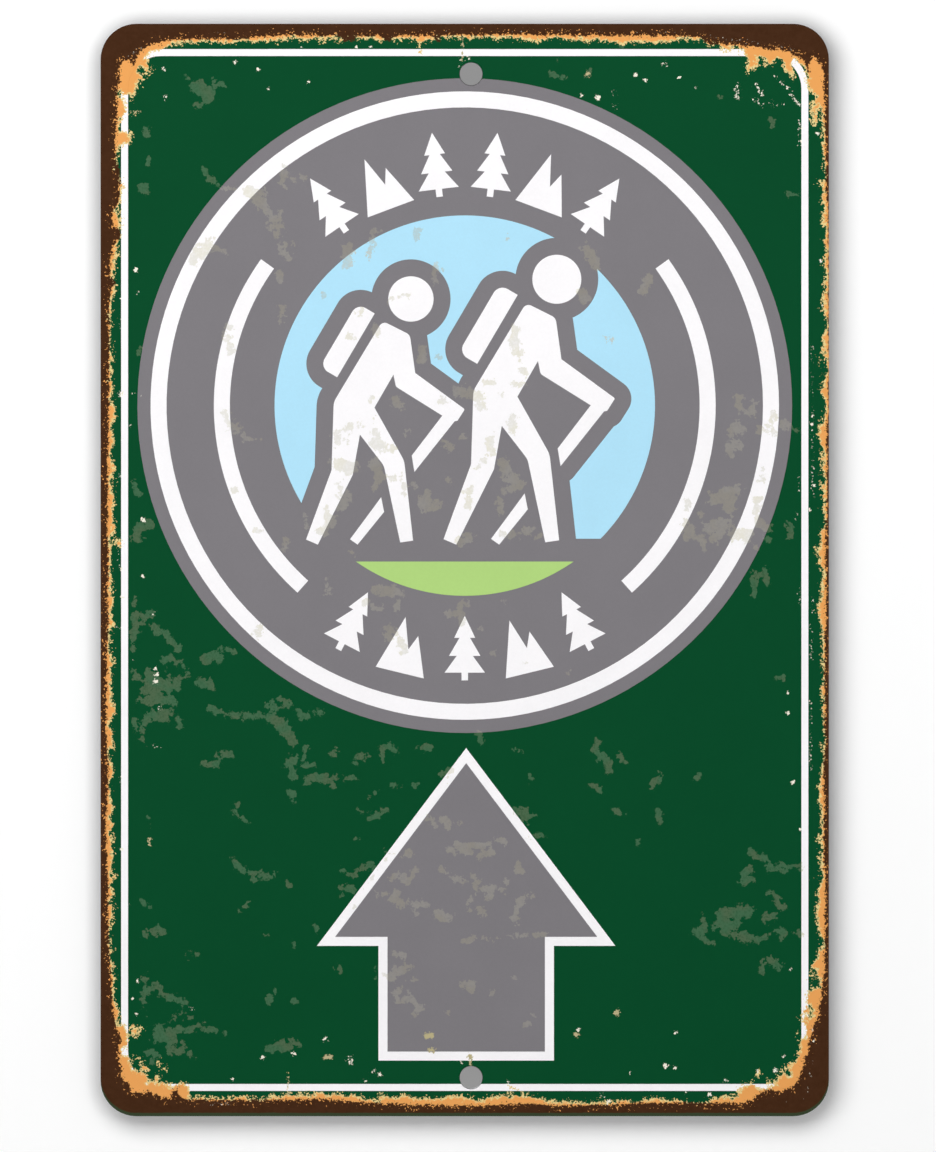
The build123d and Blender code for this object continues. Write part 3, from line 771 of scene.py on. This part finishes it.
@dataclass(frozen=True)
class RolledAluminium:
    """Aluminium sheet with its mill finish."""

    # The mill's rolls leave a soft grey shine with fine lines along the sheet. Handling scores it.
    name: str = "rolled aluminium sheet, mill finish"
    colour: str = "#CED0D3"
    dull: str = "#C0C3C6"
    # Real rolling lines are near 0.05 mm wide: 0.5 mm is as coarse as they need to show.
    lines: Streak = Streak(0.5, 0.5, 90.0, 3.0, 0.6)
    clouds: Streak = Streak(24.0, 24.0, 260.0, 6.0, 0.62)
    scores: Streak = Streak(1.1, 1000.0, 60.0, 1.0, turn=31.0)
    scoring: Span = Span(0.71, 0.75)
    clouding: Span = Span(0.4, 0.66)
    dulling: Span = Span(least=0.32, most=0.4)
    line_tone: float = 0.35
    line_roughness: float = 0.12
    score_shine: float = 0.1
    score_sink: float = 0.9
    relief: float = 0.15
    relief_depth: float = 0.05

    def material(self) -> bpy.types.Material:
        """Make the sheet's material.

        Returns:
            The material.
        """
        material = bpy.data.materials.new(self.name)
        add = emptied(material)
        place = add("TexCoord", out="Object")
        drawn = []
        for streak in (self.lines, self.clouds, self.scores):
            widths = (streak.across, streak.through, streak.along)
            stretched = add("Mapping", {
                "Vector": place, "Rotation": (0.0, math.radians(streak.turn), 0.0),
                "Scale": tuple(1 / (width * MM) for width in widths)})
            drawn.append(add("TexNoise", {"Vector": stretched, "Scale": 1.0,
                                          "Detail": streak.detail, "Roughness": streak.roughness}))
        lines, clouds, scores = drawn
        score = add("MapRange", self.scoring.turns(scores))
        cloud = add("MapRange", self.clouding.turns(clouds))
        tone = add("Math", {0: lines, 1: self.line_tone, 2: cloud}, operation="MULTIPLY_ADD",
                   use_clamp=True)
        rough = add("MapRange", self.dulling.turns(cloud))
        for pattern, share in ((lines, self.line_roughness), (score, -self.score_shine)):
            rough = add("Math", {0: pattern, 1: share, 2: rough}, operation="MULTIPLY_ADD")
        rise = add("Math", {0: score, 1: -self.score_sink, 2: lines}, operation="MULTIPLY_ADD")
        relief = add("Bump", {"Strength": self.relief, "Distance": self.relief_depth * MM,
                              "Height": rise})
        surface = add("BsdfPrincipled", {
            "Base Color": lay_coats(add, linear(self.colour), (tone, linear(self.dull))),
            "Metallic": 1.0, "Roughness": rough, "Normal": relief})
        add("OutputMaterial", {"Surface": surface})
        return material


@dataclass
class PrintedField:
    """One field of colour on the face, cut fine enough to carry its weathering, in millimetres."""

    node: str
    ink: PrintedInk
    weather: Weather
    pitch: float = 3.0
    near_marks: float = 3.0
    near_edges: float = 1.3
    near_specks: float = 0.8
    joined_within: float = 0.001
    cut_within: float = 0.0001
    flat_degrees: float = 1.0
    least_facing: float = 0.5

    def in_front(self, face: bmesh.types.BMFace) -> bool:
        """Tell whether a face looks out at the reader."""
        return face.normal.y < -self.least_facing

    def front(self, shape: bmesh.types.BMesh) -> list[bmesh.types.BMFace]:
        """List the faces that look out at the reader."""
        return [face for face in shape.faces if self.in_front(face)]

    def inner_edges(self, faces: list[bmesh.types.BMFace]) -> list[bmesh.types.BMEdge]:
        """List the edges that lie wholly in the front, each once and always in the same order.

        Args:
            faces: faces of the front.

        Returns:
            Their edges, without those that the sides share.
        """
        edges = dict.fromkeys(edge for face in faces for edge in face.edges)
        return [edge for edge in edges if all(self.in_front(side) for side in edge.link_faces)]

    def cut(self, shape: bmesh.types.BMesh) -> None:
        """Cut the front into even squares.

        Args:
            shape: the field's solid.
        """
        bmesh.ops.remove_doubles(shape, verts=shape.verts, dist=self.joined_within * MM)
        shape.normal_update()
        bmesh.ops.dissolve_limit(
            shape, angle_limit=math.radians(self.flat_degrees), verts=[],
            edges=self.inner_edges(self.front(shape)), use_dissolve_boundaries=False,
            delimit=set())
        shape.normal_update()
        for axis in (Vector((1.0, 0.0, 0.0)), Vector((0.0, 0.0, 1.0))):
            ahead = self.front(shape)
            along = [vertex.co.dot(axis) / MM for face in ahead for vertex in face.verts]
            place = (math.floor(min(along) / self.pitch) + 1) * self.pitch
            while place < max(along) and ahead:
                rest = [*dict.fromkeys(vertex for face in ahead for vertex in face.verts),
                        *dict.fromkeys(edge for face in ahead for edge in face.edges), *ahead]
                done = bmesh.ops.bisect_plane(shape, geom=rest, dist=self.cut_within * MM,
                                              plane_co=axis * place * MM, plane_no=axis)
                ahead = [part for part in done["geom"] if isinstance(part, bmesh.types.BMFace)
                         and part.calc_center_median().dot(axis) > place * MM]
                place += self.pitch

    def refine(self, shape: bmesh.types.BMesh, marks: tuple[Mark, ...], reach: float) -> None:
        """Halve the squares near the edges of marks.

        Args:
            shape: the field's solid.
            marks: the kinds of mark to follow.
            reach: how near an edge a square lies.
        """
        faces = self.front(shape)
        centres = np.array([face.calc_center_median() for face in faces])
        found = self.weather.depths(self.weather.places(centres), self.ink.rusts)
        near = np.min([np.abs(found[mark]) for mark in marks if mark in found], axis=0) < reach
        edges = self.inner_edges([face for face, chosen in zip(faces, near) if chosen])
        bmesh.ops.subdivide_edges(shape, edges=edges, cuts=1, use_grid_fill=True)
        shape.normal_update()

    def build(self) -> bpy.types.Object:
        """Build the field's piece, which stands for its CAD node.

        Returns:
            The finished piece.
        """
        shape = bmesh.new()
        shape.from_mesh(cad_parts[self.node].data)
        self.cut(shape)
        self.refine(shape, tuple(Mark), self.near_marks)
        self.refine(shape, tuple(Mark), self.near_edges)
        self.refine(shape, (Mark.SPECK, Mark.BEIGE), self.near_specks)
        name = f"{self.node}_print"
        piece = place_in_scene(name, to_mesh(name, shape))
        self.weather.dress(piece.data, self.ink.rusts)
        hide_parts(self.node)
        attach(piece, "root")
        return piece


class Assembly:
    """Fields of the print that belong together."""

    def fields(self) -> dict[PrintedInk, tuple[str, ...]]:
        """Name the CAD nodes printed in each ink."""
        raise NotImplementedError

    def build(self, weather: Weather, inks: dict[PrintedInk, bpy.types.Material]) -> None:
        """Build and dress every field.

        Args:
            weather: the marks on the face.
            inks: each ink's material.
        """
        for ink, nodes in self.fields().items():
            for node in nodes:
                piece = PrintedField(node, ink, weather).build()
                piece.data.materials.append(inks[ink])
                LOG.info("%s: %d faces in %s", piece.name, len(piece.data.polygons), ink.name)


@dataclass
class Ground(Assembly):
    """The green field, its rusted rim and the thin white line inside it."""

    field: str = "green_ground"
    rim: str = "brown_rim"
    line: str = "border_line"

    def fields(self) -> dict[PrintedInk, tuple[str, ...]]:
        """Name the CAD nodes printed in each ink."""
        return {GREEN_INK: (self.field,), BROWN_INK: (self.rim,), LINE_INK: (self.line,)}


@dataclass
class Roundel(Assembly):
    """The grey disc with its rings, its pines and peaks, and two walkers before sky and hill."""

    disc: str = "roundel_disc"
    rings: tuple[str, ...] = ("roundel_ring", "left_arc", "right_arc")
    marks: tuple[str, ...] = ("upper_pines", "upper_peaks", "lower_pines", "lower_peaks")
    walkers: tuple[str, ...] = ("rear_hiker", "front_hiker")
    walker_parts: tuple[str, ...] = ("head", "pack", "body", "staff")
    skies: tuple[str, ...] = ("left_sky", "right_sky")
    hill: str = "hill_panel"

    def fields(self) -> dict[PrintedInk, tuple[str, ...]]:
        """Name the CAD nodes printed in each ink.

        Returns:
            The nodes of each ink.
        """
        walking = tuple(f"{walker}_{part}" for walker in self.walkers for part in self.walker_parts)
        return {GREY_INK: (self.disc,), WHITE_INK: self.rings + self.marks + walking,
                SKY_INK: self.skies, HILL_INK: (self.hill,)}


@dataclass
class Arrow(Assembly):
    """The grey arrow on its white edge."""

    edge: str = "arrow_edge"
    face: str = "arrow_face"

    def fields(self) -> dict[PrintedInk, tuple[str, ...]]:
        """Name the CAD nodes printed in each ink."""
        return {WHITE_INK: (self.edge,), GREY_INK: (self.face,)}


@dataclass
class SignBlank:
    """The punched sheet that carries the print."""

    node: str = "sign_blank"
    sheet: RolledAluminium = RolledAluminium()

    def dress(self) -> None:
        """Give the CAD sheet its finish."""
        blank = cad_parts[self.node]
        blank.data.materials.clear()
        blank.data.materials.append(self.sheet.material())
        LOG.info("%s: %d faces in %s", self.node, len(blank.data.polygons), self.sheet.name)

    def weather(self) -> Weather:
        """Place the face's marks on this sheet.

        Returns:
            The marks, read against the sheet's own edges.
        """
        low, high = (np.array(corner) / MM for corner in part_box(self.node))
        return Weather(low[0], high[2], high[0] - low[0], high[2] - low[2])


@dataclass(frozen=True)
class Backdrop:
    """A matt white surface that keeps a shadow.

    A one-sided one is clear from behind. Another fades to plain white far away, in metres.
    """

    # The camera gets some light of its own from it, so it reads as white paper and not as grey.
    name: str
    glow: float
    shade: float
    one_sided: bool
    fade_from: float = 0.5
    fade_to: float = 1.7

    def material(self) -> bpy.types.Material:
        """Make the surface's material.

        Returns:
            The material.
        """
        material = bpy.data.materials.new(self.name)
        add = emptied(material)
        rays = add("LightPath", out="Is Camera Ray")
        own = add("Math", {0: rays, 1: self.glow}, operation="MULTIPLY")
        matt = add("BsdfDiffuse", {"Color": (self.shade, self.shade, self.shade, 1.0)})
        light = add("Emission", {"Color": WHITE, "Strength": own})
        surface = add("AddShader", {0: matt, 1: light})
        if self.one_sided:
            share = add("NewGeometry", out="Backfacing")
            other = add("BsdfTransparent")
        else:
            away = add("VectorMath", {0: add("TexCoord", out="Object")}, out="Value",
                       operation="LENGTH")
            far = add("MapRange", Span(self.fade_from, self.fade_to).turns(away))
            share = add("Math", {0: far, 1: rays}, operation="MULTIPLY")
            other = add("Emission", {"Color": WHITE, "Strength": 1.0})
        add("OutputMaterial", {"Surface": add("MixShader", {0: share, 1: surface, 2: other})})
        return material


WALL_PAINT = Backdrop("matt white wall paint", 0.285, 0.74, one_sided=True)
FLOOR_PAPER = Backdrop("pale backdrop paper", 0.55, 0.6, one_sided=False)


@dataclass
class Stage:
    """A white wall close behind the sign, a board between them, and a pale floor, in metres."""

    gap: float = 9.0 * MM
    board_spread: float = 4.2 * MM
    board_radius: float = 19.2 * MM
    board_gap: float = 0.6 * MM
    corner_segments: int = 8
    floor_level: float = -0.33
    wall_height: float = 1.2
    wall_width: float = 1.4
    floor_size: float = 4.0

    def sheet(self, name: str, size: tuple[float, float], place: Matrix, radius: float = 0.0,
              unseen_by: tuple[str, ...] = ()) -> bpy.types.Object:
        """Build one flat sheet of the stage.

        Args:
            name: its name.
            size: its width and depth.
            place: where it lies.
            radius: how far its corners are rounded.
            unseen_by: the kinds of ray that pass it.

        Returns:
            The sheet.
        """
        shape = bmesh.new()
        bmesh.ops.create_grid(shape, x_segments=1, y_segments=1, size=0.5,
                              matrix=place @ Matrix.Diagonal((*size, 1.0, 1.0)))
        if radius:
            shape.normal_update()
            bmesh.ops.bevel(shape, geom=shape.verts[:], offset=radius, offset_type="OFFSET",
                            segments=self.corner_segments, profile=0.5, affect="VERTICES",
                            material=-1)
        piece = place_in_scene(name, to_mesh(name, shape))
        for rays in unseen_by:
            setattr(piece, f"visible_{rays}", False)
        return piece

    def upright(self, place: tuple[float, float, float]) -> Matrix:
        """Stand a sheet up at this place, facing the reader."""
        return Matrix.Translation(place) @ Matrix.Rotation(math.radians(90), 4, "X")

    def board(self) -> None:
        """Build the board that deepens the sign's shadow, which the camera doesn't see."""
        low, high = (Vector(corner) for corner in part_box("sign_blank"))
        size = (high.x - low.x + 2 * self.board_spread, high.z - low.z + 2 * self.board_spread)
        middle = ((low.x + high.x) / 2, self.board_gap, (low.z + high.z) / 2)
        board = self.sheet("shadow_board", size, self.upright(middle), self.board_radius,
                           ("camera", "glossy", "transmission"))
        # Black paint gives back no light, so the wall beside it stays in shadow.
        material = bpy.data.materials.new("matt black paint")
        add = emptied(material)
        add("OutputMaterial", {"Surface": add("BsdfDiffuse", {"Color": BLACK})})
        board.data.materials.append(material)

    def build(self) -> None:
        """Build the board, the wall and the floor."""
        self.board()
        middle = (0.0, self.gap, self.floor_level + self.wall_height / 2)
        wall = self.sheet("studio_wall", (self.wall_width, self.wall_height), self.upright(middle),
                          unseen_by=("diffuse", "glossy", "transmission", "shadow"))
        wall.data.materials.append(WALL_PAINT.material())
        level = Matrix.Translation((0.0, 0.0, self.floor_level))
        floor = self.sheet("studio_floor", (self.floor_size, self.floor_size), level,
                           unseen_by=("glossy",))
        floor.data.materials.append(FLOOR_PAPER.material())
        LOG.info("stage: wall %.0f mm behind the sign", self.gap / MM)


@dataclass
class StudioLight:
    """One broad soft lamp from the upper left, and a weak one behind for the bare back."""

    key_power: float = 157.0
    key_size: float = 4.4
    key_distance: float = 3.2
    key_side: float = 15.0
    key_rise: float = 12.0
    rear_power: float = 14.0
    rear_size: float = 1.6
    rear_place: tuple[float, float, float] = (-0.9, 2.4, 1.3)
    ambient: float = 0.2
    gloss_ahead: Span = Span(-0.35, 0.45)
    gloss_above: Span = Span(-0.5, 0.6, 0.5, 1.0)
    first_bounce: float = 0.5

    def lamp(self, name: str, power: float, size: float, place: Vector, in_gloss: bool) -> None:
        """Hang a square soft lamp that faces the sign.

        Args:
            name: its name.
            power: its power in watts.
            size: its side in metres.
            place: where it hangs.
            in_gloss: whether shiny surfaces mirror it.
        """
        light = bpy.data.lights.new(name, "AREA")
        light.energy = power
        light.shape = "SQUARE"
        light.size = size
        lamp = place_in_scene(name, light)
        lamp.location = place
        lamp.rotation_euler = (-place).to_track_quat("-Z", "Y").to_euler()
        lamp.visible_camera = False
        lamp.visible_glossy = in_gloss

    def sky(self) -> None:
        """Make the world: white to the camera and in reflections, and dim for the rest."""
        world = bpy.data.worlds.new("white studio")
        add = emptied(world)
        bpy.context.scene.world = world
        seen, mirrored, passed, scattered = (
            add("LightPath", out=ray)
            for ray in ("Is Camera Ray", "Is Glossy Ray", "Is Transmission Ray", "Diffuse Depth"))
        heading = add("TexCoord", out="Generated")
        ahead, above = (add("SeparateXYZ", {0: heading}, out=axis) for axis in ("Y", "Z"))

        # Only a straight reflection shows the bright room: what lies ahead, and most of it above.
        direct = add("Math", {0: scattered, 1: self.first_bounce}, operation="LESS_THAN")
        mirror = mirrored
        for share in (direct, add("MapRange", self.gloss_ahead.turns(ahead)),
                      add("MapRange", self.gloss_above.turns(above))):
            mirror = add("Math", {0: mirror, 1: share}, operation="MULTIPLY")
        dull = add("Math", {0: 1.0, 1: mirrored}, operation="SUBTRACT")
        strength = add("Math", {0: dull, 1: self.ambient}, operation="MULTIPLY")
        for share in (seen, passed, mirror):
            strength = add("Math", {0: strength, 1: share}, operation="MAXIMUM")
        white = add("Background", {"Color": WHITE, "Strength": strength})
        add("OutputWorld", {"Surface": white})

    def build(self) -> None:
        """Hang the lamps and make the world."""
        side, rise = math.radians(self.key_side), math.radians(self.key_rise)
        aim = Vector((-math.tan(side), -1.0, math.tan(rise))).normalized()
        self.lamp("key_lamp", self.key_power, self.key_size, aim * self.key_distance, False)
        self.lamp("rear_lamp", self.rear_power, self.rear_size, Vector(self.rear_place), True)
        self.sky()
        LOG.info("lamps: %.0f W in front, %.0f W behind", self.key_power, self.rear_power)


@dataclass
class CameraRig:
    """A long lens straight in front of the sign. The lens and sensor are in millimetres."""

    lens: float = 135.0
    sensor: float = 36.0
    seen_height: float = 482.1 * MM
    aim_x: float = -1.29 * MM
    aim_z: float = -0.11 * MM
    face: float = -1.216 * MM

    def build(self) -> None:
        """Set up the camera."""
        data = bpy.data.cameras.new("camera")
        data.lens = self.lens
        data.sensor_width = self.sensor
        camera = place_in_scene("camera", data)
        away = self.lens / self.sensor * self.seen_height
        camera.location = (self.aim_x, self.face - away, self.aim_z)
        camera.rotation_euler = INWARDS.to_track_quat("-Z", "Y").to_euler()
        bpy.context.scene.camera = camera
        LOG.info("camera: %.0f mm lens, %.2f m away", self.lens, away)


def main() -> None:
    """Build the sign's pieces, its stage, its light and its camera in order."""
    logging.basicConfig(level=logging.INFO, format="%(message)s")
    bpy.context.scene.view_settings.view_transform = "Standard"
    blank = SignBlank()
    blank.dress()
    weather = blank.weather()
    inks = {ink: ink.material() for ink in (GREEN_INK, BROWN_INK, LINE_INK, WHITE_INK, GREY_INK,
                                            SKY_INK, HILL_INK)}
    for assembly in (Ground(), Roundel(), Arrow()):
        assembly.build(weather, inks)
    Stage().build()
    StudioLight().build()
    CameraRig().build()


if __name__ == "__main__":
    main()
